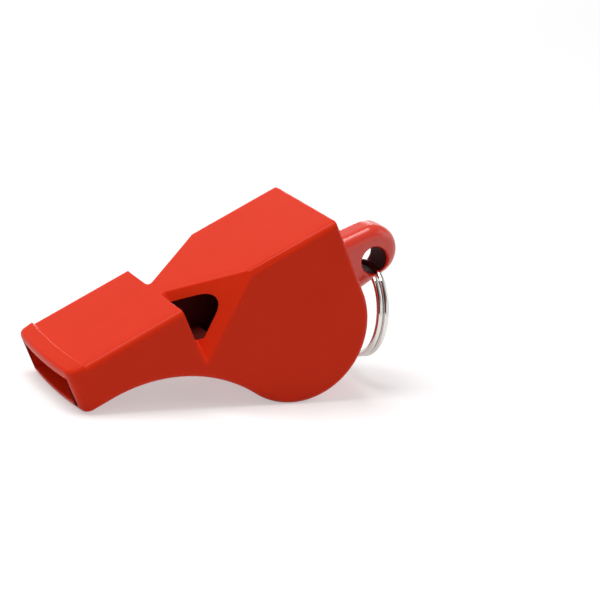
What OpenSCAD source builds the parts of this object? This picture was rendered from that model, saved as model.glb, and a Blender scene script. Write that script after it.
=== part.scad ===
// Referee's whistle without a pea: three chambers, two side windows, one window underneath.
// It stands as it does on a table, on its round belly and on the lower edge of the mouthpiece.
// Every part is drawn in the whistle's own axes, with x from the mouth to the ring, the flat top
// at z = 0 and the rear wall of the mouthpiece at x = 0, and is then leant over onto its belly.

/* [Body] */
// Width over the flat side faces
body_w = 20; // [16:0.5:24]
// Length from the rear wall of the mouthpiece to the back face
body_l = 25.5; // [24:0.2:28]
// Radius of the round belly
belly_r = 10.9; // [9.5:0.1:11.6]
// Depth of the belly's centre below the flat top
belly_drop = 12.1; // [10:0.1:14]
// Rounding of the outer edges
edge_r = 1; // [0.6:0.1:1.3]
// Thickness of the top, the floors, the belly and the back
wall = 1.3; // [1:0.1:1.6]
// Thickness of the two side walls
side_wall = 1.75; // [1.3:0.05:2]
// Rounding inside the chamber where its roof meets the side walls
roof_r = 2.6; // [1.5:0.1:3]

/* [Mouthpiece] */
// Length from its rear wall to the middle of the tip
mouth_l = 18.7; // [15:0.1:22]
// Height of the mouthpiece
mouth_h = 6.7; // [6:0.1:8]
// Radius of the hollow throat under the mouthpiece
throat_r = 22; // [18:0.5:26]
// How far the tip bows out at its middle
tip_bow = 0.5; // [0.2:0.1:1]
// Rounding of the two upright edges of the tip
tip_r = 1.5; // [1:0.1:2.5]
// Width of the slot that is blown into
slot_w = 16; // [13:0.25:16.25]
// Length of the raised lip that the teeth hold
lip_l = 2.3; // [1.5:0.1:3]
// Height of the raised lip
lip_h = 0.4; // [0.2:0.05:0.6]

/* [Side windows] */
// Length of a window along the top edge
window_l = 11.9; // [9:0.1:13]
// Width of the neck that is left between the windows
neck_w = 3.6; // [3:0.1:5]
// Depth of a window down the side face
window_drop = 10.8; // [8:0.1:12]
// Rounding of the valley at the foot of the slanted face
valley_r = 0.9; // [0.5:0.1:1.2]
// Depth of the sill under the window's opening, below the flat top
sill_drop = 6.2; // [5.8:0.1:7]
// Thickness of the sill from front to back
sill_l = 2.7; // [2:0.1:3.5]

/* [Chambers] */
// Width of the middle chamber
mid_w = 4.2; // [3:0.1:5]
// Thickness of the two webs beside the middle chamber
web = 1.1; // [0.8:0.1:1.4]
// Reach of the windway block into the mouthpiece
block_l = 9; // [6:0.5:12]
// Clearance all round the insert in the shell
fit_gap = 0.05; // [0.02:0.01:0.1]
// Width of the slit that blows across each side window
side_slit = 1.2; // [0.8:0.1:1.6]
// Height of the slit that blows across the window underneath
low_slit = 1.2; // [0.8:0.1:1.6]
// Length of the window underneath
low_window_l = 3; // [2:0.1:4]

/* [Lug] */
// Thickness of the lug
lug_w = 5.8; // [4.5:0.1:7]
// Radius of its round end
lug_r = 3.9; // [3.6:0.1:4.5]
// Distance from the back face to the centre of the round end
lug_reach = 6.3; // [5.5:0.1:8]
// Depth of that centre below the flat top
lug_drop = 11.4; // [10:0.1:13]
// How much deeper the lug is at the back face, on its upper and its lower side
lug_flare = 0.6; // [0:0.1:1.5]
// Rounding of the lug's edges
lug_edge_r = 1.9; // [1:0.1:2.2]
// Diameter of the ring hole
hole_d = 4; // [3.8:0.1:4.4]
// How far the hole sits below the centre of the round end
hole_low = 1; // [0:0.1:1.1]
// How far the hole sits in front of that centre
hole_in = 0.6; // [0:0.1:0.7]
// Rounding of the hole's two mouths
hole_edge_r = 0.7; // [0.5:0.1:0.9]

/* [Split ring] */
// Diameter of the ring, to the middle of its wire
ring_d = 13.6; // [13:0.1:16]
// Diameter of the wire
wire_d = 0.95; // [0.8:0.05:1.1]
// Gap between the two turns
turn_gap = 0.05; // [0.04:0.01:0.1]
// Clearance between the wire and the mouths of the hole
hole_gap = 0.15; // [0.1:0.01:0.25]
// Half of the turn over which the wire crosses from one side of the ring to the other
cross_angle = 25; // [22:1:30]
// Angle between the end of the crossing and the cut end of the other turn
cut_angle = 5; // [3:1:10]

/* [Hidden] */
$fn = 96;
hull_fn = 32;
valley_steps = 8;
over = 1;
throat_dip = 0.02;

half_w = body_w / 2;
room_w = body_w - 2 * side_wall;
slot_h = mouth_h - 2 * wall;
belly_x = body_l - belly_r;
// The throat dips into the lower face of the mouthpiece by a trace, so that the two cross.
throat_z = throat_dip - mouth_h - throat_r;
throat_x = belly_x - sqrt(pow(throat_r + belly_r, 2) - pow(-belly_drop - throat_z, 2));
hole_x = body_l + lug_reach - hole_in;
hole_z = -lug_drop - hole_low;
total_l = mouth_l + body_l + lug_reach + lug_r;
total_h = belly_drop + belly_r;

// The whistle leans until the rounded lower edge of the tip is level with the foot of the belly.
tip_x = edge_r - mouth_l;
tip_z = edge_r - mouth_h;
tip_to_belly = norm([belly_x - tip_x, belly_drop + tip_z]);
lean = atan2(belly_drop + tip_z, belly_x - tip_x) + asin((belly_r - edge_r) / tip_to_belly);
function stood_x(x, z) = x * cos(lean) - z * sin(lean);
function stood_z(x, z) = x * sin(lean) + z * cos(lean);
front_x = stood_x(tip_x, lip_h - edge_r) - edge_r;
rear_x = stood_x(body_l + lug_reach, -lug_drop) + lug_r;
foot_z = stood_z(belly_x, -belly_drop) - belly_r;

// The ring hangs by the wire that lies in the hole's two mouths.
ring_r = ring_d / 2;
wire_r = wire_d / 2;
turn_x = (wire_d + turn_gap) / 2;
knee_y = ring_r * sin(cross_angle);
cross_r = norm([ring_r, turn_x]);
cross_half = atan2(norm([knee_y, turn_x]), ring_r * cos(cross_angle));
cross_tilt = atan2(turn_x, knee_y);
mouth_y = lug_w / 2 - hole_edge_r;
hang = hole_d / 2 - hole_gap + sqrt(pow(cross_r - wire_r, 2) - pow(mouth_y, 2));
// The wire is a trace thicker where it bends into the crossing.
knee_r = 1.03 * wire_r;

// The tip's bow is an arc over the whole width.
tip_bow_r = (pow(half_w, 2) + pow(tip_bow, 2)) / (2 * tip_bow);
tip_turn = 1.2 * asin(half_w / tip_bow_r);
window_slope = (half_w - neck_w / 2) / window_l;
window_fall = (half_w - neck_w / 2) / window_drop;
core_w = mid_w + 2 * web;

// Lean the whistle and put the middle of its base at the origin
module stand() {
  translate([-(front_x + rear_x) / 2, 0, -foot_z]) rotate([0, -lean, 0]) children();
}

// A side view, spread evenly to both sides of the middle plane
module spread(w) {
  rotate([90, 0, 0]) linear_extrude(height = w, center = true) children();
}

// Everything behind the plane x
module behind(x) {
  translate([x, -body_w, -2 * total_h]) cube([total_l, 2 * body_w, 3 * total_h]);
}

// The point where the throat runs into the belly
function meet(inset) =
  [belly_x, -belly_drop]
  + (belly_r - inset) / (throat_r + belly_r) * [throat_x - belly_x, throat_z + belly_drop];

// Side view of the body without the belly, drawn in by inset
module upper_outline(inset = 0) {
  difference() {
    union() {
      translate([0.9 * lip_l - mouth_l, inset - mouth_h])
        square([mouth_l + belly_x - 0.9 * lip_l, mouth_h - 2 * inset]);
      polygon([
        [throat_x, -inset], [throat_x, inset - mouth_h], meet(inset),
        [belly_x, -belly_drop], [belly_x, -inset]
      ]);
      translate([belly_x, -belly_drop]) square([belly_r - inset, belly_drop - inset]);
    }
    translate([throat_x, throat_z]) circle(r = throat_r + inset, $fn = 2 * $fn);
  }
}

// Side view of the whole body, drawn in by inset
module outline(inset = 0) {
  upper_outline(inset);
  translate([belly_x, -belly_drop]) circle(r = belly_r - inset);
}

// Side view of the wall that closes the belly and the back
module belly_band() {
  difference() {
    outline();
    outline(wall);
  }
}

// A rectangle whose corners on the sides given are rounded
module soft_square(x0, x1, y0, y1, r, left = true, right = true, low = true, high = true) {
  difference() {
    translate([x0, y0]) square([x1 - x0, y1 - y0]);
    if (left && low) corner_off(x0, y0, r, 0);
    if (right && low) corner_off(x1, y0, r, 90);
    if (right && high) corner_off(x1, y1, r, 180);
    if (left && high) corner_off(x0, y1, r, 270);
  }
}

// What rounding takes away at a corner that opens at the angle a
module corner_off(x, y, r, a) {
  translate([x, y]) rotate(a) difference() {
    translate([-over, -over]) square(r + over);
    translate([r, r]) circle(r = r);
  }
}

// A bar along x, rounded along the edges of its top
module long_bar(w, top_z, r, x0, x1) {
  translate([x0, 0, 0]) rotate([90, 0, 90]) linear_extrude(height = x1 - x0)
    soft_square(-w / 2, w / 2, -2 * total_h, top_z, r, low = false);
}

// A solid standing on a plan, taller than the whistle
module standing() {
  translate([0, 0, -2 * total_h]) linear_extrude(height = 3 * total_h) children();
}

// Plan of the body with rounded upright edges
module plan() {
  intersection() {
    union() {
      translate([-mouth_l, tip_r - half_w])
        square([tip_bow + tip_r, body_w - 2 * tip_r]);
      soft_square(tip_bow - mouth_l, body_l, -half_w, half_w, tip_r, right = false);
    }
    soft_square(-mouth_l - over, body_l, -half_w, half_w, edge_r, left = false);
  }
}

// The mouthpiece's tip with its raised lip, bowed and rounded along its front. The tip brings the
// flat lower face of the whole mouthpiece with it, as far as the throat.
module tip() {
  intersection() {
    translate([tip_bow_r - mouth_l, 0, 0]) rotate([0, 0, 180 - tip_turn])
      rotate_extrude(angle = 2 * tip_turn, $fn = 6 * $fn) {
        soft_square(tip_bow_r - lip_l, tip_bow_r, -mouth_h, lip_h, edge_r, left = false);
        translate([tip_bow_r - mouth_l / 2, -mouth_h])
          square([mouth_l / 2 - edge_r, mouth_h * 2 / 3]);
      }
    long_bar(body_w, lip_h, edge_r, -mouth_l - over, over);
    standing() plan();
  }
}

// The belly as a thick disc with rounded rims
module belly() {
  translate([belly_x, 0, -belly_drop]) rotate([90, 0, 0]) rotate_extrude()
    soft_square(0, belly_r, -half_w, half_w, edge_r, left = false);
}

// The outer form, solid
module outer_form() {
  intersection() {
    spread(body_w) difference() {
      upper_outline();
      translate([-mouth_l, -mouth_h - over])
        square([mouth_l + throat_x, mouth_h / 2 + over]);
    }
    long_bar(body_w, 0, edge_r, -mouth_l - over, body_l + over);
    standing() plan();
  }
  tip();
  belly();
}

// The corner cut of both side windows: a face square to the length and a slanted face that meet
// in a rounded valley. The slanted face crosses the top, the side and the front at the window's
// three sizes.
module window_cuts() {
  opening = atan(sqrt(1 + pow(window_fall, 2)) / window_slope);
  valley = valley_r / tan(opening / 2);
  for (s = [0, 1]) mirror([0, s, 0]) translate([0, -neck_w / 2, 0])
    rotate([-atan(window_fall), 0, 0]) rotate([0, 0, -90])
      linear_extrude(height = 4 * total_h, center = true)
        polygon([
          [total_l, 0], total_l * [cos(opening), sin(opening)],
          for (i = [0:valley_steps]) let (a = opening + 90 + i / valley_steps * (180 - opening))
            [valley, valley_r] + valley_r * [cos(a), sin(a)]
        ]);
}

// The room for the insert: two chambers behind the windows, the sill in front of them, and the
// gap between them
module shell_room() {
  intersection() {
    long_bar(room_w, -wall, roof_r, 0, total_l);
    translate([0, -body_w, -sill_drop]) cube([total_l, 2 * body_w, total_h]);
  }
  long_bar(room_w, -wall, roof_r, sill_l, total_l);
  intersection() {
    spread(core_w) outline(wall);
    behind(-block_l);
  }
  translate([0, -core_w / 2, -2 * total_h]) cube([total_l, core_w, 2 * total_h - wall]);
}

// One moulding: mouthpiece, flat top, both sides and the corner cuts of the windows
module outer_shell() {
  color("#D8402C") stand() difference() {
    outer_form();
    window_cuts();
    shell_room();
    translate([-mouth_l - over, -slot_w / 2, -wall - slot_h])
      cube([mouth_l + 2 * over, slot_w, slot_h]);
    translate([-low_window_l, -mid_w / 2, -2 * total_h])
      cube([low_window_l + over, mid_w, 2 * total_h - sill_drop]);
  }
}

// The block in the mouthpiece leaves a slit at each side wall and one along the floor.
module windway_block() {
  difference() {
    union() {
      translate([-block_l, side_slit - slot_w / 2, fit_gap - wall - slot_h])
        cube([block_l, slot_w - 2 * side_slit, slot_h - 2 * fit_gap]);
      intersection() {
        spread(core_w - 2 * fit_gap) outline(wall + fit_gap);
        translate([-block_l, -body_w, -2 * total_h]) cube([block_l, 2 * body_w, 3 * total_h]);
      }
    }
    spread(mid_w) difference() {
      translate([-block_l - over, -2 * total_h]) square([block_l + 2 * over, 3 * total_h]);
      outline(wall + low_slit);
    }
  }
}

// The two webs beside the middle chamber, run into the wall of the belly
module webs() {
  intersection() {
    for (s = [-1, 1]) translate([0, s * (mid_w + web - fit_gap) / 2, 0])
      spread(web - fit_gap) {
        outline(wall + fit_gap);
        intersection() {
          outline(wall / 2);
          translate([fit_gap, -2 * total_h]) square([total_l, 2 * total_h - wall - fit_gap]);
        }
      }
    behind(-block_l / 2);
  }
}

// The wall of the belly and the back, between the side walls of the shell
module belly_wall() {
  intersection() {
    spread(2 * body_w) belly_band();
    union() {
      long_bar(room_w - 2 * fit_gap, -wall - fit_gap, roof_r, sill_l + fit_gap, total_l);
      translate([fit_gap, fit_gap - core_w / 2, -2 * total_h])
        cube([total_l, core_w - 2 * fit_gap, 2 * total_h - wall - fit_gap]);
    }
  }
}

// A thick disc of the lug with rounded rims
module lug_disc(r, x) {
  translate([x, 0, -lug_drop]) rotate([90, 0, 0]) rotate_extrude($fn = hull_fn)
    soft_square(0, r, -lug_w / 2, lug_w / 2, lug_edge_r, left = false);
}

// The lug grows out of the back wall.
module lug() {
  intersection() {
    hull() {
      lug_disc(lug_r, body_l + lug_reach);
      lug_disc(lug_r + lug_flare, body_l);
    }
    behind(body_l - wall / 2);
  }
}

// The ring hole with its rounded mouths
module ring_hole() {
  translate([hole_x, 0, hole_z]) rotate([90, 0, 0]) {
    cylinder(h = body_w, d = hole_d, center = true);
    for (s = [0, 1]) mirror([0, 0, s]) rotate_extrude() difference() {
      translate([0, mouth_y]) square([hole_d / 2 + hole_edge_r, hole_edge_r + over]);
      translate([hole_d / 2 + hole_edge_r, mouth_y]) circle(r = hole_edge_r);
    }
  }
}

// One moulding: windway block, webs, belly and back wall, and the lug for the ring
module chamber_insert() {
  color("#E04A34") stand() difference() {
    union() {
      windway_block();
      webs();
      belly_wall();
      lug();
    }
    window_cuts();
    ring_hole();
  }
}

// An arc of the wire of radius r from angle a0, through a turn, at x beside the middle of the ring
module wire_arc(r, x, a0, turn) {
  translate([0, 0, x]) rotate([0, 0, a0]) rotate_extrude(angle = turn)
    translate([r, 0]) circle(r = wire_r);
}

// The wire's two turns lie side by side, and the wire crosses over inside the hole of the lug.
module split_ring() {
  turn = 360 - 2 * cross_angle - cut_angle;
  color("#C8CACC")
    translate([
      stood_x(hole_x, hole_z) - (front_x + rear_x) / 2, 0,
      stood_z(hole_x, hole_z) - foot_z - hang
    ]) rotate([0, 90, 0]) {
      wire_arc(ring_r, turn_x, 180 + cross_angle, turn);
      wire_arc(ring_r, -turn_x, 180 - cross_angle - turn, turn);
      rotate([-cross_tilt, 0, 0]) wire_arc(cross_r, 0, 180 - cross_half, 2 * cross_half);
      for (s = [-1, 1]) translate([-ring_r * cos(cross_angle), s * knee_y, -s * turn_x])
        rotate([90, 0, 180 - s * cross_angle]) sphere(r = knee_r);
    }
}

outer_shell();
chamber_insert();
split_ring();
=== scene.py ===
import bpy
import math
from mathutils import Matrix, Vector


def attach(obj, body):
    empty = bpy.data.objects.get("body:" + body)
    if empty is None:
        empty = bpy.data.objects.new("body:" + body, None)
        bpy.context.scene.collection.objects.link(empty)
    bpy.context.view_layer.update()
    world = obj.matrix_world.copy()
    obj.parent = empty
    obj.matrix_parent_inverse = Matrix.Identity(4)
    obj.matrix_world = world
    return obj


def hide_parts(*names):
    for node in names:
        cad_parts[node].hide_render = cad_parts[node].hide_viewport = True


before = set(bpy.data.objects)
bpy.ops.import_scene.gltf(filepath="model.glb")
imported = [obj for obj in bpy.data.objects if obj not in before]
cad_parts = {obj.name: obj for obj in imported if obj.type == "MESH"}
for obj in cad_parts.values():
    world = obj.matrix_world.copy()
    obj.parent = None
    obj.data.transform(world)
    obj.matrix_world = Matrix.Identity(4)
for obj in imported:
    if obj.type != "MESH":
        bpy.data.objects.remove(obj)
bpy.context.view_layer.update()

print("frame loaded")

# While it is modelled, the whistle has its own axes: x runs from the rear wall of the mouthpiece to
# the ring, and z = 0 is the flat top. A finished piece is leant over onto its belly, as in the frame.
mm = 0.001
far = 60 * mm            # longer than the whistle, for cutters that run right through
overlap = 0.1 * mm       # how far a cutter reaches into the room beside it
trace = 0.01 * mm        # keeps the faces of two parts out of one plane
slack = 0.01 * mm        # how near a point has to be to a slanted face to lie on it
hair = 0.003 * mm        # the same for a face along an axis
touch = 0.0005 * mm      # points closer than this are one point
sharpFrom = 25           # degrees between two faces whose edge is sharp
flatBelow = 0.5          # degrees between two faces that are really one
squarely = 0.9           # a normal that measures this much along an axis points that way


# Small steps that every piece is made with

def only(piece):
    if bpy.context.object and bpy.context.object.mode != "OBJECT":
        bpy.ops.object.mode_set(mode="OBJECT")
    bpy.ops.object.select_all(action="DESELECT")
    piece.select_set(True)
    bpy.context.view_layer.objects.active = piece


def edit(piece, kind="EDGE"):
    only(piece)
    bpy.ops.object.mode_set(mode="EDIT")
    bpy.ops.mesh.select_mode(type=kind)
    bpy.ops.mesh.select_all(action="SELECT")


def done(name):
    piece = bpy.context.object
    if piece.mode != "OBJECT":
        bpy.ops.object.mode_set(mode="OBJECT")
    bpy.ops.object.transform_apply(location=True, rotation=True, scale=True)
    piece.name = name
    return piece


def outward(piece):
    edit(piece)
    bpy.ops.mesh.remove_doubles(threshold=touch)
    bpy.ops.mesh.normals_make_consistent(inside=False)
    bpy.ops.object.mode_set(mode="OBJECT")


# Leaves the piece in edit mode, with only those edges selected whose two ends fit the rule.
def pickEdges(piece, rule, among=None):
    edit(piece)
    bpy.ops.mesh.select_all(action="DESELECT")
    bpy.ops.object.mode_set(mode="OBJECT")
    points = piece.data.vertices
    for edge in piece.data.edges:
        ends = [points[index].co for index in edge.vertices]
        edge.select = (among is None or edge.index in among) and rule(*ends)
    bpy.ops.object.mode_set(mode="EDIT")


def pickSharp(piece, rule):
    edit(piece)
    bpy.ops.mesh.select_all(action="DESELECT")
    bpy.ops.mesh.edges_select_sharp(sharpness=math.radians(sharpFrom))
    bpy.ops.object.mode_set(mode="OBJECT")
    pickEdges(piece, rule, {edge.index for edge in piece.data.edges if edge.select})


def near(a, b, within=hair):
    return abs(a - b) < within


def bevelPicked(width, steps):
    bpy.ops.mesh.bevel(offset=width, segments=steps, affect="EDGES", clamp_overlap=False)
    bpy.ops.object.mode_set(mode="OBJECT")


def combine(piece, other, how="DIFFERENCE"):
    only(piece)
    step = piece.modifiers.new("combine", "BOOLEAN")
    step.operation = how
    step.solver = "EXACT"
    step.object = other
    bpy.ops.object.modifier_apply(modifier=step.name)
    bpy.data.objects.remove(other)


def block(name, low, high):
    low, high = Vector(low), Vector(high)
    bpy.ops.mesh.primitive_cube_add(size=1, location=(low + high) / 2, scale=high - low)
    return done(name)


# Rounded edges shade smoothly, and the flat faces beside them stay flat.
def finishSurface(piece, smoothBelow=32):
    only(piece)
    bpy.ops.object.shade_smooth_by_angle(angle=math.radians(smoothBelow))
    step = piece.modifiers.new("flatFaces", "WEIGHTED_NORMAL")
    step.keep_sharp = True
    step.weight = 100        # the largest face decides
    bpy.ops.object.modifier_apply(modifier=step.name)


# A side view is drawn as a line: a first point, then straight runs and arcs. An angle that
# grows turns from the ring towards the top.

def startLine(x, y, z):
    bpy.ops.object.select_all(action="DESELECT")
    bpy.ops.mesh.primitive_plane_add(size=mm, location=(x, y, z))
    bpy.ops.object.mode_set(mode="EDIT")
    bpy.ops.mesh.select_mode(type="VERT")
    bpy.ops.mesh.select_all(action="SELECT")
    bpy.ops.mesh.merge(type="CENTER")


def runLine(dx, dy, dz):
    bpy.ops.mesh.extrude_region_move(TRANSFORM_OT_translate={"value": (dx, dy, dz)})


def runArc(x, z, degrees):
    steps = max(2, round(abs(degrees) / body["arcStep"]))
    bpy.ops.mesh.spin(steps=steps, angle=math.radians(degrees), center=(x, 0, z), axis=(0, 1, 0))


# Shell: mouthpiece, flat top, two sides and the corner cuts of the windows, in one moulding

body = {
    "width": 20 * mm, "length": 25.5 * mm,         # length from the mouthpiece's rear wall
    "wall": 1.3 * mm, "sideWall": 1.75 * mm, "roofRound": 2.6 * mm,
    "bellyRadius": 10.9 * mm, "bellyDrop": 12.1 * mm, "throatRadius": 22 * mm,
    "mouthLength": 18.7 * mm, "mouthHeight": 6.7 * mm, "slotWidth": 16 * mm, "slotEdge": 0.18 * mm,
    "tipBow": 0.5 * mm, "tipRound": 1.5 * mm, "tipTopRim": 0.6 * mm, "tipTaper": 0.16 * mm,
    "rim": 1 * mm, "backRim": 0.7 * mm, "topBackRim": 0.35 * mm,
    "lipLength": 2.3 * mm, "lipHeight": 0.4 * mm, "lipSlope": 0.45 * mm,
    "lipFallShare": 0.6,                           # of the lip's height, lost towards the front
    "windowLength": 11.9 * mm, "windowDrop": 9.6 * mm, "neck": 3.6 * mm, "valley": 0.9 * mm,
    "sillDrop": 6.2 * mm, "sillLength": 2.7 * mm,
    "softEdge": 0.4 * mm, "crispEdge": 0.12 * mm, "openingEdge": 0.08 * mm,
    "bridgeShare": 0.4,                            # of the neck, on each side, that stays sharp
    "arcStep": 3, "rimSteps": 8, "slotSteps": 3, "softSteps": 5, "crispSteps": 2,
    "slopeSteps": 5, "bowStrips": 19,
}

halfWidth = body["width"] / 2
roomHalf = halfWidth - body["sideWall"]
bellyX = body["length"] - body["bellyRadius"]
bellyZ = -body["bellyDrop"]
throatZ = -body["mouthHeight"] - body["throatRadius"]
throatReach = body["throatRadius"] + body["bellyRadius"]
throatX = bellyX - math.sqrt(throatReach ** 2 - (bellyZ - throatZ) ** 2)
meetAngle = math.degrees(math.atan2(bellyZ - throatZ, bellyX - throatX))
bowRadius = (halfWidth ** 2 + body["tipBow"] ** 2) / (2 * body["tipBow"])
slotTop = -body["wall"]
slotLow = body["wall"] - body["mouthHeight"]
lipEnd = body["lipLength"] - body["mouthLength"]
windowSlope = (halfWidth - body["neck"] / 2) / body["windowLength"]
windowFall = (halfWidth - body["neck"] / 2) / body["windowDrop"]


# The whistle's side view, drawn in by inset, as a plate from y = low to y = high.
def sidePlate(name, inset, low, high):
    top = -inset
    tip = inset - body["mouthLength"]
    under = inset - body["mouthHeight"]
    startLine(tip, low, top)
    runLine(body["length"] - inset - tip, 0, 0)
    runLine(0, 0, bellyZ - top)
    runArc(bellyX, bellyZ, meetAngle - 180)
    runArc(throatX, throatZ, 90 - meetAngle)
    runLine(tip - throatX, 0, 0)
    runLine(0, 0, top - under)
    bpy.ops.mesh.select_all(action="SELECT")
    bpy.ops.mesh.remove_doubles(threshold=touch)
    bpy.ops.mesh.edge_face_add()
    bpy.ops.mesh.extrude_region_move(TRANSFORM_OT_translate={"value": (0, high - low, 0)})
    piece = done(name)
    outward(piece)
    return piece


# A bar along x, as wide as the room in the shell or a little less, whose upper edges are rounded.
def roundedBar(name, half, top, x0, x1, low=-far):
    bar = block(name, (x0, -half, low), (x1, half, top))
    pickEdges(bar, lambda a, b: near(a.z, top) and near(b.z, top) and near(a.y, b.y))
    bevelPicked(body["roofRound"], body["rimSteps"])
    return bar


# How far the edge between two corners of the plain body is rounded.
def rimWidth(a, b):
    side = near(abs(a.y), halfWidth) and near(a.y, b.y)
    atTip = near(a.x, -body["mouthLength"]) and near(b.x, a.x)
    if side and atTip:
        return body["tipRound"]
    if side:
        return body["backRim"] if near(a.x, body["length"]) and near(b.x, a.x) else body["rim"]
    if atTip and near(a.z, b.z):
        return body["tipTopRim"] if near(a.z, 0) else body["rim"]
    return body["topBackRim"] if near(a.z, 0) and near(b.z, 0) and near(a.x, b.x) else 0


def outerForm():
    form = sidePlate("shellBody", 0, -halfWidth, halfWidth)
    weights = form.data.attributes.new("bevel_weight_edge", "FLOAT", "EDGE")
    points = form.data.vertices
    for edge in form.data.edges:
        width = rimWidth(points[edge.vertices[0]].co, points[edge.vertices[1]].co)
        weights.data[edge.index].value = width / body["tipRound"]
    only(form)
    step = form.modifiers.new("rims", "BEVEL")
    step.limit_method = "WEIGHT"
    step.width = body["tipRound"]
    step.segments = body["rimSteps"]
    step.use_clamp_overlap = False
    bpy.ops.object.modifier_apply(modifier=step.name)
    return form


# The lip for the teeth stands up along the tip and falls towards the front. The mouthpiece bows out
# at its tip, fully under the lip and less and less towards the throat.
def raiseLip(form):
    edit(form)
    for index in range(body["slopeSteps"] + 1):
        x = lipEnd + index / body["slopeSteps"] * body["lipSlope"]
        bpy.ops.mesh.select_all(action="SELECT")
        bpy.ops.mesh.bisect(plane_co=(x, 0, 0), plane_no=(1, 0, 0), threshold=touch)
    for index in range(body["bowStrips"]):
        y = (2 * index + 1 - body["bowStrips"]) / body["bowStrips"] * (halfWidth - body["tipRound"])
        bpy.ops.mesh.select_all(action="SELECT")
        bpy.ops.mesh.bisect(plane_co=(0, y, 0), plane_no=(0, 1, 0), threshold=touch)
    bpy.ops.object.mode_set(mode="OBJECT")
    for point in form.data.vertices:
        share = min(1, max(0, 1 - (point.co.x - lipEnd) / body["lipSlope"]))
        if point.co.z > -body["tipRound"] - hair:
            ahead = max(0, lipEnd - point.co.x) / body["lipLength"]
            fall = 1 - body["lipFallShare"] * ahead
            point.co.z += body["lipHeight"] * fall * share * share * (3 - 2 * share)
        bow = bowRadius - math.sqrt(bowRadius ** 2 - point.co.y ** 2)
        fade = min(1, max(0, (throatX - point.co.x) / (throatX - lipEnd - body["lipSlope"])))
        point.co.x += bow * fade
        point.co.x += body["tipTaper"] * (1 + point.co.z / body["mouthHeight"]) * share


# The corner that a side window takes away: a square face, a slanted face and a round valley.
def windowCutter(side):
    cutter = block("windowCutter", (0, 0, -far), (far, far, far))
    edit(cutter)
    start = Vector((0, body["neck"] / 2, 0))
    slant = Vector((windowSlope, -1, -windowFall))
    bpy.ops.mesh.bisect(plane_co=start, plane_no=slant, use_fill=True, clear_outer=True,
                        threshold=touch)
    pickEdges(cutter, lambda a, b: all(
        near(p.x, 0) and near(slant.dot(p - start), 0, slack) for p in (a, b)))
    bevelPicked(body["valley"], body["rimSteps"])
    if side < 0:
        cutter.data.transform(Matrix.Scale(-1, 4, (0, 1, 0)))
    outward(cutter)
    return cutter


# The windows' edges are soft where they run out on the sides, and crisp where they meet the top.
def windowRims(shell):
    low = -body["windowDrop"]
    bridge = body["bridgeShare"] * body["neck"]
    pickSharp(shell, lambda a, b: all(
        near(abs(p.y), halfWidth) and p.z > low and p.x > -slack for p in (a, b)))
    bevelPicked(body["softEdge"], body["softSteps"])
    pickSharp(shell, lambda a, b: all(
        near(p.z, 0) and p.x > -slack and abs(p.y) > bridge for p in (a, b)))
    bevelPicked(body["crispEdge"], body["crispSteps"])


def onSlant(point):
    return near(windowSlope * point.x - (abs(point.y) - body["neck"] / 2),
                windowFall * point.z, 2 * hair)


# A thin rounding where the slanted faces break into the chambers.
def openingRims(shell):
    pickSharp(shell, lambda a, b: all(
        onSlant(p) and p.z < slotTop + slack and abs(p.y) < roomHalf + slack for p in (a, b)))
    bevelPicked(body["openingEdge"], body["crispSteps"])


def slotRims(shell):
    front = body["tipBow"] + overlap - body["mouthLength"]
    pickEdges(shell, lambda a, b: all(
        p.x < front and (near(abs(p.y), body["slotWidth"] / 2) or near(p.z, slotTop)
                         or near(p.z, slotLow)) for p in (a, b)))
    bevelPicked(body["slotEdge"], body["slotSteps"])


def makeShell():
    shell = outerForm()
    raiseLip(shell)
    for side in (-1, 1):
        combine(shell, windowCutter(side))
    windowRims(shell)
    print("shell: outer form and windows")
    sill = body["sillLength"]
    slotHalf = body["slotWidth"] / 2
    coreSide = insert["middle"] / 2
    combine(shell, roundedBar("room", roomHalf, slotTop, sill, far))
    combine(shell, roundedBar("upperRoom", roomHalf, slotTop, 0, far, -body["sillDrop"]))
    combine(shell, block("slot", (-far, -slotHalf, slotLow), (sill / 2, slotHalf, slotTop)))
    combine(shell, block("coreGap", (0, -coreHalf, -far), (far, coreHalf, slotTop)))
    combine(shell, block("lowWindow", (-insert["lowWindow"], -coreSide, -far),
                         (overlap, coreSide, -body["sillDrop"])))
    slotRims(shell)
    openingRims(shell)
    print("shell: rooms and slot")
    return shell


# Insert: windway block, webs, belly and back wall and the lug, in one moulding

insert = {
    "gap": 0.05 * mm, "middle": 4.2 * mm, "web": 1.1 * mm,       # middle chamber between two webs
    "block": 9 * mm, "sideSlit": 1.2 * mm, "lowSlit": 1.2 * mm, "lowWindow": 3 * mm,
    "lugWidth": 5.8 * mm, "lugRadius": 3.87 * mm, "lugReach": 6.3 * mm, "lugDrop": 11.4 * mm,
    "lugFlare": 0.6 * mm, "lugRound": 1.9 * mm, "lugRootShare": 0.7,
    "hole": 4 * mm, "holeLow": 1 * mm, "holeIn": 0.6 * mm, "holeRound": 0.7 * mm,
    "lugSteps": 96, "lugRimSteps": 10, "holeRimSteps": 6,
}

coreHalf = insert["middle"] / 2 + insert["web"]
lugX = body["length"] + insert["lugReach"]
lugZ = -insert["lugDrop"]
holeX = lugX - insert["holeIn"]
holeZ = lugZ - insert["holeLow"]


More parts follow.
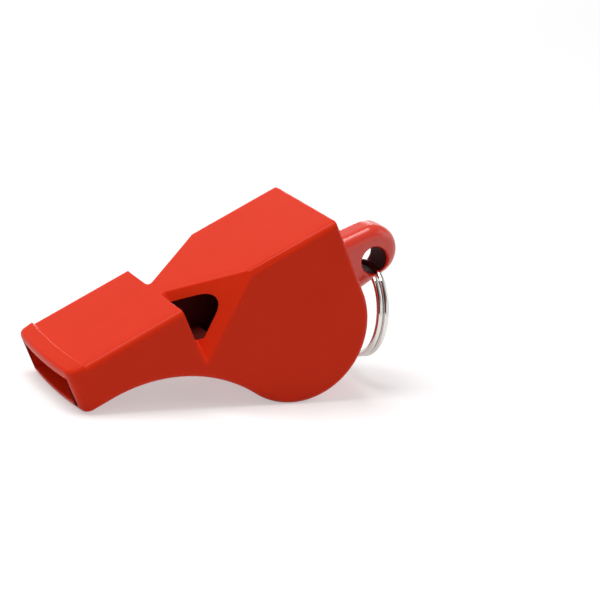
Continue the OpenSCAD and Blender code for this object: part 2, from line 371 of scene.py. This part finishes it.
# A thick round end that widens towards the body, rounded all along its rims.
def lugForm():
    rise = math.atan(insert["lugFlare"] / insert["lugReach"])
    cutX = lugX + insert["lugRadius"] * math.sin(rise)
    rootX = body["length"] - insert["lugRootShare"] * body["wall"]
    bpy.ops.object.select_all(action="DESELECT")
    bpy.ops.mesh.primitive_cylinder_add(vertices=insert["lugSteps"], radius=insert["lugRadius"],
                                        depth=insert["lugWidth"], location=(lugX, 0, lugZ),
                                        rotation=(math.radians(90), 0, 0))
    form = done("lugForm")
    edit(form, "FACE")
    bpy.ops.mesh.bisect(plane_co=(cutX, 0, 0), plane_no=(1, 0, 0), use_fill=True,
                        clear_inner=True, threshold=touch)
    bpy.ops.mesh.select_all(action="DESELECT")
    bpy.ops.object.mode_set(mode="OBJECT")
    for face in form.data.polygons:
        face.select = face.normal.x < -squarely
    bpy.ops.object.mode_set(mode="EDIT")
    bpy.ops.mesh.extrude_region_move(TRANSFORM_OT_translate={"value": (rootX - cutX, 0, 0)})
    bpy.ops.object.mode_set(mode="OBJECT")
    grow = 1 + (cutX - rootX) * math.tan(rise) / (insert["lugRadius"] * math.cos(rise))
    for point in form.data.vertices:
        if near(point.co.x, rootX):
            point.co.z = lugZ + (point.co.z - lugZ) * grow
    edit(form)
    bpy.ops.mesh.dissolve_limited(angle_limit=math.radians(flatBelow))
    pickEdges(form, lambda a, b: near(a.y, b.y) and not (near(a.x, rootX) and near(b.x, rootX)))
    bevelPicked(insert["lugRound"], insert["lugRimSteps"])
    outward(form)
    return form


# A spool: the bore with its two rounded mouths.
def holeCutter():
    face = insert["lugWidth"] / 2 + trace
    mouth = face - insert["holeRound"]
    wide = insert["hole"] / 2 + insert["holeRound"]
    beyond = insert["lugWidth"]
    startLine(holeX, -beyond, holeZ)
    runLine(wide, 0, 0)
    runLine(0, beyond - face, 0)
    for side in (-1, 1):
        if side > 0:
            runLine(0, 2 * mouth, 0)
        bpy.ops.mesh.spin(steps=insert["holeRimSteps"], angle=math.radians(90), axis=(0, 0, 1),
                          center=(holeX + wide, side * mouth, holeZ))
    runLine(0, beyond - face, 0)
    runLine(-wide, 0, 0)
    bpy.ops.mesh.select_all(action="SELECT")
    bpy.ops.mesh.spin(steps=insert["lugSteps"], angle=math.radians(360), axis=(0, 1, 0),
                      center=(holeX, 0, holeZ))
    cutter = done("holeCutter")
    outward(cutter)
    return cutter


def makeInsert():
    gap = insert["gap"]
    wall = body["wall"]
    top = slotTop - gap
    front = body["sillLength"] + gap
    piece = sidePlate("insertBody", 0, -halfWidth, halfWidth)
    combine(piece, sidePlate("hollow", wall, -body["width"], body["width"]))
    keep = roundedBar("keep", roomHalf - gap, top, front, far)
    combine(keep, block("keepMiddle", (gap, gap - coreHalf, trace - far),
                        (front + wall, coreHalf - gap, top - trace)), "UNION")
    combine(piece, keep, "INTERSECT")
    for side in (-1, 1):
        inner = side * insert["middle"] / 2
        outer = side * (coreHalf - gap - trace)
        web = sidePlate("web", wall / 2, min(inner, outer), max(inner, outer))
        combine(web, block("ahead", (-far, -far, -far), (-insert["block"] / 2, far, far)))
        combine(web, block("above", (-far, -far, top - trace), (far, far, far)))
        combine(web, block("under", (-far, -far, -far), (0, far, slotLow + gap + trace)))
        combine(piece, web, "UNION")
    half = body["slotWidth"] / 2 - insert["sideSlit"]
    windway = block("windway", (-insert["block"], -half, slotLow + gap), (-gap, half, top))
    half = insert["middle"] / 2 - trace
    for low, high in ((-far, slotLow + insert["lowSlit"]), (slotTop - insert["lowSlit"], 0)):
        combine(windway, block("slit", (-far, -half, low), (far, half, high)))
    combine(piece, windway, "UNION")
    print("insert: walls, webs and windway block")
    combine(piece, lugForm(), "UNION")
    combine(piece, holeCutter())
    print("insert: lug with its hole")
    return piece


# The lean that brings the mouthpiece's lower edge level with the foot of the belly, as the whistle
# lies. Its length is then centred, as the frame has it.
def standingPlace():
    rim = body["rim"]
    radius = body["bellyRadius"]
    dx = bellyX - rim + body["mouthLength"]
    dz = body["bellyDrop"] + rim - body["mouthHeight"]
    lean = math.atan2(dz, dx) + math.asin((radius - rim) / math.hypot(dx, dz))
    turn = Matrix.Rotation(-lean, 4, "Y")
    front = turn @ Vector((rim - body["mouthLength"], 0, body["lipHeight"] - rim))
    rear = turn @ Vector((lugX, 0, lugZ))
    foot = turn @ Vector((bellyX, 0, bellyZ))
    middle = (front.x - rim + rear.x + insert["lugRadius"]) / 2
    return Matrix.Translation((-middle, 0, radius - foot.z)) @ turn


standing = standingPlace()


# Split ring: one wire, two turns side by side, crossing over inside the hole of the lug

ring = {
    "mean": 13.6 * mm, "wire": 0.95 * mm, "gap": 0.05 * mm, "holeGap": 0.15 * mm,
    "crossing": 25,          # degrees from the top to where the turns lie side by side
    "cut": 11,               # degrees from there to the end of the wire
    "step": 1.5, "wireSteps": 7, "smoothBelow": 40,
}


def makeRing():
    wire = ring["wire"] / 2
    radius = ring["mean"] / 2
    offset = (ring["wire"] + ring["gap"]) / 2
    mouth = insert["lugWidth"] / 2 - insert["holeRound"]
    hang = insert["hole"] / 2 - ring["holeGap"] + math.sqrt((radius - wire) ** 2 - mouth ** 2)
    eye = standing @ Vector((holeX, 0, holeZ))
    count = round((360 - ring["crossing"] - ring["cut"]) / ring["step"])
    line = bpy.data.curves.new("splitRing", "CURVE")
    line.dimensions = "3D"
    spline = line.splines.new("POLY")
    spline.points.add(2 * count)
    for index in range(2 * count + 1):
        angle = (index - count) * ring["step"]
        share = max(-1, min(1, angle / ring["crossing"]))
        side = -offset * math.sin(math.radians(90 * share))
        y = radius * math.sin(math.radians(angle))
        z = radius * math.cos(math.radians(angle)) - hang
        spline.points[index].co = (eye.x + side, y, eye.z + z, 1)
    line.bevel_depth = wire
    line.bevel_resolution = ring["wireSteps"]
    line.use_fill_caps = True
    piece = bpy.data.objects.new("ringWire", line)
    bpy.context.scene.collection.objects.link(piece)
    only(piece)
    bpy.ops.object.convert(target="MESH")
    outward(piece)
    only(piece)
    bpy.ops.object.shade_smooth_by_angle(angle=math.radians(ring["smoothBelow"]))
    print("split ring")
    return piece


shell = makeShell()
shell.data.transform(standing)
finishSurface(shell)
insertPiece = makeInsert()
insertPiece.data.transform(standing)
finishSurface(insertPiece)
ringPiece = makeRing()


# Materials

noiseLow = 0.3           # most of a noise texture lies between these two
noiseHigh = 0.7


# An sRGB hex colour as the linear values that a shader takes.
def linearColor(code):
    parts = [int(code[i:i + 2], 16) / 255 for i in (1, 3, 5)]
    return [p / 12.92 if p <= 0.04045 else ((p + 0.055) / 1.055) ** 2.4 for p in parts] + [1]


def addNode(tree, kind, links=None, values=None, **settings):
    node = tree.nodes.new(kind)
    for name, value in settings.items():
        setattr(node, name, value)
    for name, value in (values or {}).items():
        node.inputs[name].default_value = value
    for name, socket in (links or {}).items():
        tree.links.new(socket, node.inputs[name])
    return node


def startMaterial(name):
    material = bpy.data.materials.new(name)
    material.use_nodes = True
    tree = material.node_tree
    tree.nodes.clear()
    return material, tree


# One fine noise gives both the uneven gloss and the relief that goes with it.
def grainLinks(tree, place, look):
    grain = addNode(tree, "ShaderNodeTexNoise", {"Vector": place},
                    {"Scale": 1 / look["grainSize"], "Detail": look["grainDetail"]})
    rough = addNode(tree, "ShaderNodeMapRange", {"Value": grain.outputs["Fac"]},
                    {"From Min": noiseLow, "From Max": noiseHigh, "To Min": look["rough"][0],
                     "To Max": look["rough"][1]})
    bump = addNode(tree, "ShaderNodeBump", {"Height": grain.outputs["Fac"]},
                   {"Strength": look["bump"], "Distance": look["bumpHeight"]})
    return {"Roughness": rough.outputs["Result"], "Normal": bump.outputs["Normal"]}


# How ABS bends light, and how far light goes into it, in red, green and blue shares of the depth
bulk = {"ior": 1.54, "reachShares": (1, 0.22, 0.1), "depth": 0.8 * mm}


# Moulded ABS, coloured right through: one even red, in which only a very slow drift of the pigment
# shows, with light that goes a little way in and softens the edges.
def mouldedPlastic(name, look):
    material, tree = startMaterial(name)
    place = addNode(tree, "ShaderNodeTexCoord").outputs["Object"]
    links = grainLinks(tree, place, look)
    drift = addNode(tree, "ShaderNodeTexNoise", {"Vector": place},
                    {"Scale": 1 / look["driftSize"], "Detail": look["driftDetail"]})
    color = addNode(tree, "ShaderNodeMix", {0: drift.outputs["Fac"]}, data_type="RGBA")
    color.inputs[6].default_value = linearColor(look["deep"])
    color.inputs[7].default_value = linearColor(look["light"])
    links["Base Color"] = color.outputs[2]
    shader = addNode(tree, "ShaderNodeBsdfPrincipled", links,
                     {"IOR": bulk["ior"], "Specular IOR Level": look["specular"],
                      "Subsurface Weight": look["glow"], "Subsurface Radius": bulk["reachShares"],
                      "Subsurface Scale": bulk["depth"]})
    addNode(tree, "ShaderNodeOutputMaterial", {"Surface": shader.outputs["BSDF"]})
    return material


# The shell's mould is finely blasted: a satin face with a broad, weak highlight. The blasted grain
# is about 0.05 mm in a real mould, and is drawn about four times as coarse, so that it shows.
shellLook = {
    "deep": "#E8300C", "light": "#EE3611", "driftSize": 9 * mm, "driftDetail": 2,
    "grainSize": 0.22 * mm, "grainDetail": 3, "rough": (0.34, 0.42),
    "bump": 0.12, "bumpHeight": 0.01 * mm, "specular": 0.1, "glow": 0.25,
}
# The insert's mould is polished: the lug is wet-looking, with a bright streak along its round edge.
insertLook = {
    "deep": "#E8351A", "light": "#F03C20", "driftSize": 9 * mm, "driftDetail": 2,
    "grainSize": 0.5 * mm, "grainDetail": 3, "rough": (0.2, 0.26),
    "bump": 0.04, "bumpHeight": 0.01 * mm, "specular": 0.7, "glow": 0.3,
}
# Painted shade: the walls of the chambers and of the bore are coloured dark red, standing in for the
# shade inside them, and are given a matt roughness.
paintedShadeLook = {
    "deep": "#4A0803", "light": "#5C0C05", "driftSize": 6 * mm, "driftDetail": 2,
    "grainSize": 0.3 * mm, "grainDetail": 3, "rough": (0.6, 0.75),
    "bump": 0.3, "bumpHeight": 0.02 * mm, "specular": 0.12, "glow": 0,
}
# Spring wire, drawn and then plated with bright nickel: a mirror that is slightly warm and faintly
# uneven.
ringLook = {
    "color": "#DCDAD6", "grainSize": 0.4 * mm, "grainDetail": 2, "rough": (0.05, 0.1),
    "bump": 0.015, "bumpHeight": 0.01 * mm,
}


def brightNickel(name, look):
    material, tree = startMaterial(name)
    place = addNode(tree, "ShaderNodeTexCoord").outputs["Object"]
    shader = addNode(tree, "ShaderNodeBsdfPrincipled", grainLinks(tree, place, look),
                     {"Base Color": linearColor(look["color"]), "Metallic": 1})
    addNode(tree, "ShaderNodeOutputMaterial", {"Surface": shader.outputs["BSDF"]})
    return material


# Where the painted shade goes: what tells a wall of the chambers or of the bore from an outer face
paintedShadeBounds = {
    "skin": 0.15 * mm, "edge": 0.02 * mm, "boreEdge": 0.05 * mm, "boreTilt": 0.3,
    "ahead": 0.1 * mm, "behindSlant": 0.9 * mm,
}


def inPaintedShade(face):
    own = standing.inverted() @ face.center
    side = abs(own.y)
    if math.hypot(own.x - holeX, own.z - holeZ) < insert["hole"] / 2 + paintedShadeBounds["boreEdge"]:
        return abs(face.normal.y) < paintedShadeBounds["boreTilt"]
    if side > roomHalf + paintedShadeBounds["edge"] or own.z > slotTop + paintedShadeBounds["edge"] or own.x < -paintedShadeBounds["ahead"]:
        return False
    behind = windowSlope * own.x - (side - body["neck"] / 2) - windowFall * own.z
    sill = near(own.z, -body["sillDrop"], paintedShadeBounds["edge"])
    belly = math.hypot(own.x - bellyX, own.z - bellyZ) < body["bellyRadius"] - paintedShadeBounds["skin"]
    rear = body["length"] - paintedShadeBounds["skin"] if own.z > bellyZ else bellyX
    throat = math.hypot(own.x - throatX, own.z - throatZ) > body["throatRadius"] + paintedShadeBounds["skin"]
    upper = throat and own.z > bellyZ - body["bellyRadius"] / 2 and own.x < rear
    return (behind > paintedShadeBounds["behindSlant"] or sill) and (belly or upper)


def dress(piece, material, shadeMaterial=None):
    piece.data.materials.clear()
    piece.data.materials.append(material)
    if shadeMaterial:
        piece.data.materials.append(shadeMaterial)
        for face in piece.data.polygons:
            # faces inside the chambers and the bore take the painted shade material
            face.material_index = 1 if inPaintedShade(face) else 0


# The dark red of the chamber and bore walls is painted shade, not the plastic's own colour.
paintedShadeMaterial = mouldedPlastic("paintedShadeABS", paintedShadeLook)
dress(shell, mouldedPlastic("satinMouldedABS", shellLook), paintedShadeMaterial)
dress(insertPiece, mouldedPlastic("polishedMouldedABS", insertLook), paintedShadeMaterial)
dress(ringPiece, brightNickel("brightNickelWire", ringLook))
print("materials")

pieces = [
    (shell, "whistle", "outer_shell", "shell"),
    (insertPiece, "whistle", "chamber_insert", "insert"),
    (ringPiece, "ring", "split_ring", "ring"),
]
for piece, carrier, node, slotName in pieces:
    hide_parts(node)
    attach(piece, carrier)


# Floor, room, lamps and camera

studio = {
    "floor": 4000 * mm, "paper": "#D8D8D8", "paperShine": 0.45, "ambient": 0.28,
    "darkSide": (-0.97, -0.1, 0.1), "darkEdge": (0.15, 0.55), "darkLevel": 0.04,
    "ceiling": (0.25, 0.6), "ceilingLevel": 0.35,
    "key": {"place": (-180 * mm, 60 * mm, 580 * mm), "size": 350 * mm, "power": 2.6},
    "fill": {"place": (500 * mm, -200 * mm, 400 * mm), "size": 400 * mm, "power": 0.4},
    "back": {"place": (250 * mm, 600 * mm, 160 * mm), "size": 150 * mm, "power": 0.5},
}


# Matte white paper: no gloss at all. It looks white to the camera and in the metal, but lights the
# whistle from below only as much as pale paper does.
def makeFloor():
    bpy.ops.object.select_all(action="DESELECT")
    bpy.ops.mesh.primitive_plane_add(size=studio["floor"], location=(0, 0, 0))
    floor = done("floor")
    material, tree = startMaterial("matteWhitePaper")
    path = addNode(tree, "ShaderNodeLightPath").outputs
    seen = addNode(tree, "ShaderNodeMath", {0: path["Is Camera Ray"], 1: path["Is Glossy Ray"]},
                   operation="MAXIMUM").outputs[0]
    paper = addNode(tree, "ShaderNodeBsdfDiffuse", values={"Color": linearColor(studio["paper"])})
    shine = addNode(tree, "ShaderNodeEmission", {"Strength": seen},
                    {"Color": [studio["paperShine"]] * 3 + [1]})
    both = addNode(tree, "ShaderNodeAddShader",
                   {0: paper.outputs["BSDF"], 1: shine.outputs["Emission"]})
    addNode(tree, "ShaderNodeOutputMaterial", {"Surface": both.outputs["Shader"]})
    dress(floor, material)


# White all round for the camera. In reflections the room is dark on one side, as a studio is beside
# its lamps, and dimmer overhead, and bright metal shows both.
def makeRoom():
    world = bpy.data.worlds.new("paleStudio")
    bpy.context.scene.world = world
    world.use_nodes = True
    tree = world.node_tree
    tree.nodes.clear()
    path = addNode(tree, "ShaderNodeLightPath").outputs
    direction = addNode(tree, "ShaderNodeTexCoord").outputs["Generated"]
    facing = addNode(tree, "ShaderNodeVectorMath", {0: direction}, {1: studio["darkSide"]},
                     operation="DOT_PRODUCT").outputs["Value"]
    height = addNode(tree, "ShaderNodeSeparateXYZ", {0: direction}).outputs["Z"]
    mirrored = path["Is Glossy Ray"]
    for measure, (start, end), dimmest in ((facing, studio["darkEdge"], studio["darkLevel"]),
                                           (height, studio["ceiling"], studio["ceilingLevel"])):
        dimmed = addNode(tree, "ShaderNodeMapRange", {"Value": measure},
                         {"From Min": start, "From Max": end, "To Min": 1, "To Max": dimmest},
                         interpolation_type="SMOOTHSTEP").outputs["Result"]
        mirrored = addNode(tree, "ShaderNodeMath", {0: mirrored, 1: dimmed},
                           operation="MULTIPLY").outputs[0]
    level = addNode(tree, "ShaderNodeMath", {0: path["Is Diffuse Ray"]}, {1: studio["ambient"]},
                    operation="MULTIPLY").outputs[0]
    for seen in (path["Is Camera Ray"], path["Is Transmission Ray"], mirrored):
        level = addNode(tree, "ShaderNodeMath", {0: level, 1: seen}, operation="MAXIMUM").outputs[0]
    sky = addNode(tree, "ShaderNodeBackground", {"Strength": level}, {"Color": (1, 1, 1, 1)})
    addNode(tree, "ShaderNodeOutputWorld", {"Surface": sky.outputs["Background"]})


def makeLamps():
    target = standing @ Vector((0, 0, -body["wall"]))
    for name in ("key", "fill", "back"):
        bpy.ops.object.light_add(type="AREA", location=studio[name]["place"])
        lamp = bpy.context.object
        lamp.name = name + "Lamp"
        lamp.data.size = studio[name]["size"]
        lamp.data.energy = studio[name]["power"]
        lamp.rotation_euler = (target - lamp.location).to_track_quat("-Z", "Y").to_euler()


# The photograph's view, from the side of the mouthpiece and a little above, held slightly tilted.
view = {
    "place": (-152.55 * mm, -304.49 * mm, 111.55 * mm), "azimuth": 28.5, "elevation": 16.0,
    "roll": 6.5, "lens": 150.03, "sensor": 36,
}


def makeCamera():
    azimuth, elevation, roll = (math.radians(view[name]) for name in ("azimuth", "elevation", "roll"))
    aim = (Matrix.Rotation(-azimuth, 4, "Z") @ Matrix.Rotation(math.radians(90) - elevation, 4, "X")
           @ Matrix.Rotation(roll, 4, "Z"))
    bpy.ops.object.camera_add(location=view["place"])
    camera = bpy.context.object
    camera.rotation_euler = aim.to_euler()
    camera.data.lens = view["lens"]
    camera.data.sensor_width = view["sensor"]
    bpy.context.scene.camera = camera


makeFloor()
makeRoom()
makeLamps()
makeCamera()
bpy.context.scene.view_settings.view_transform = "Standard"
print("studio")
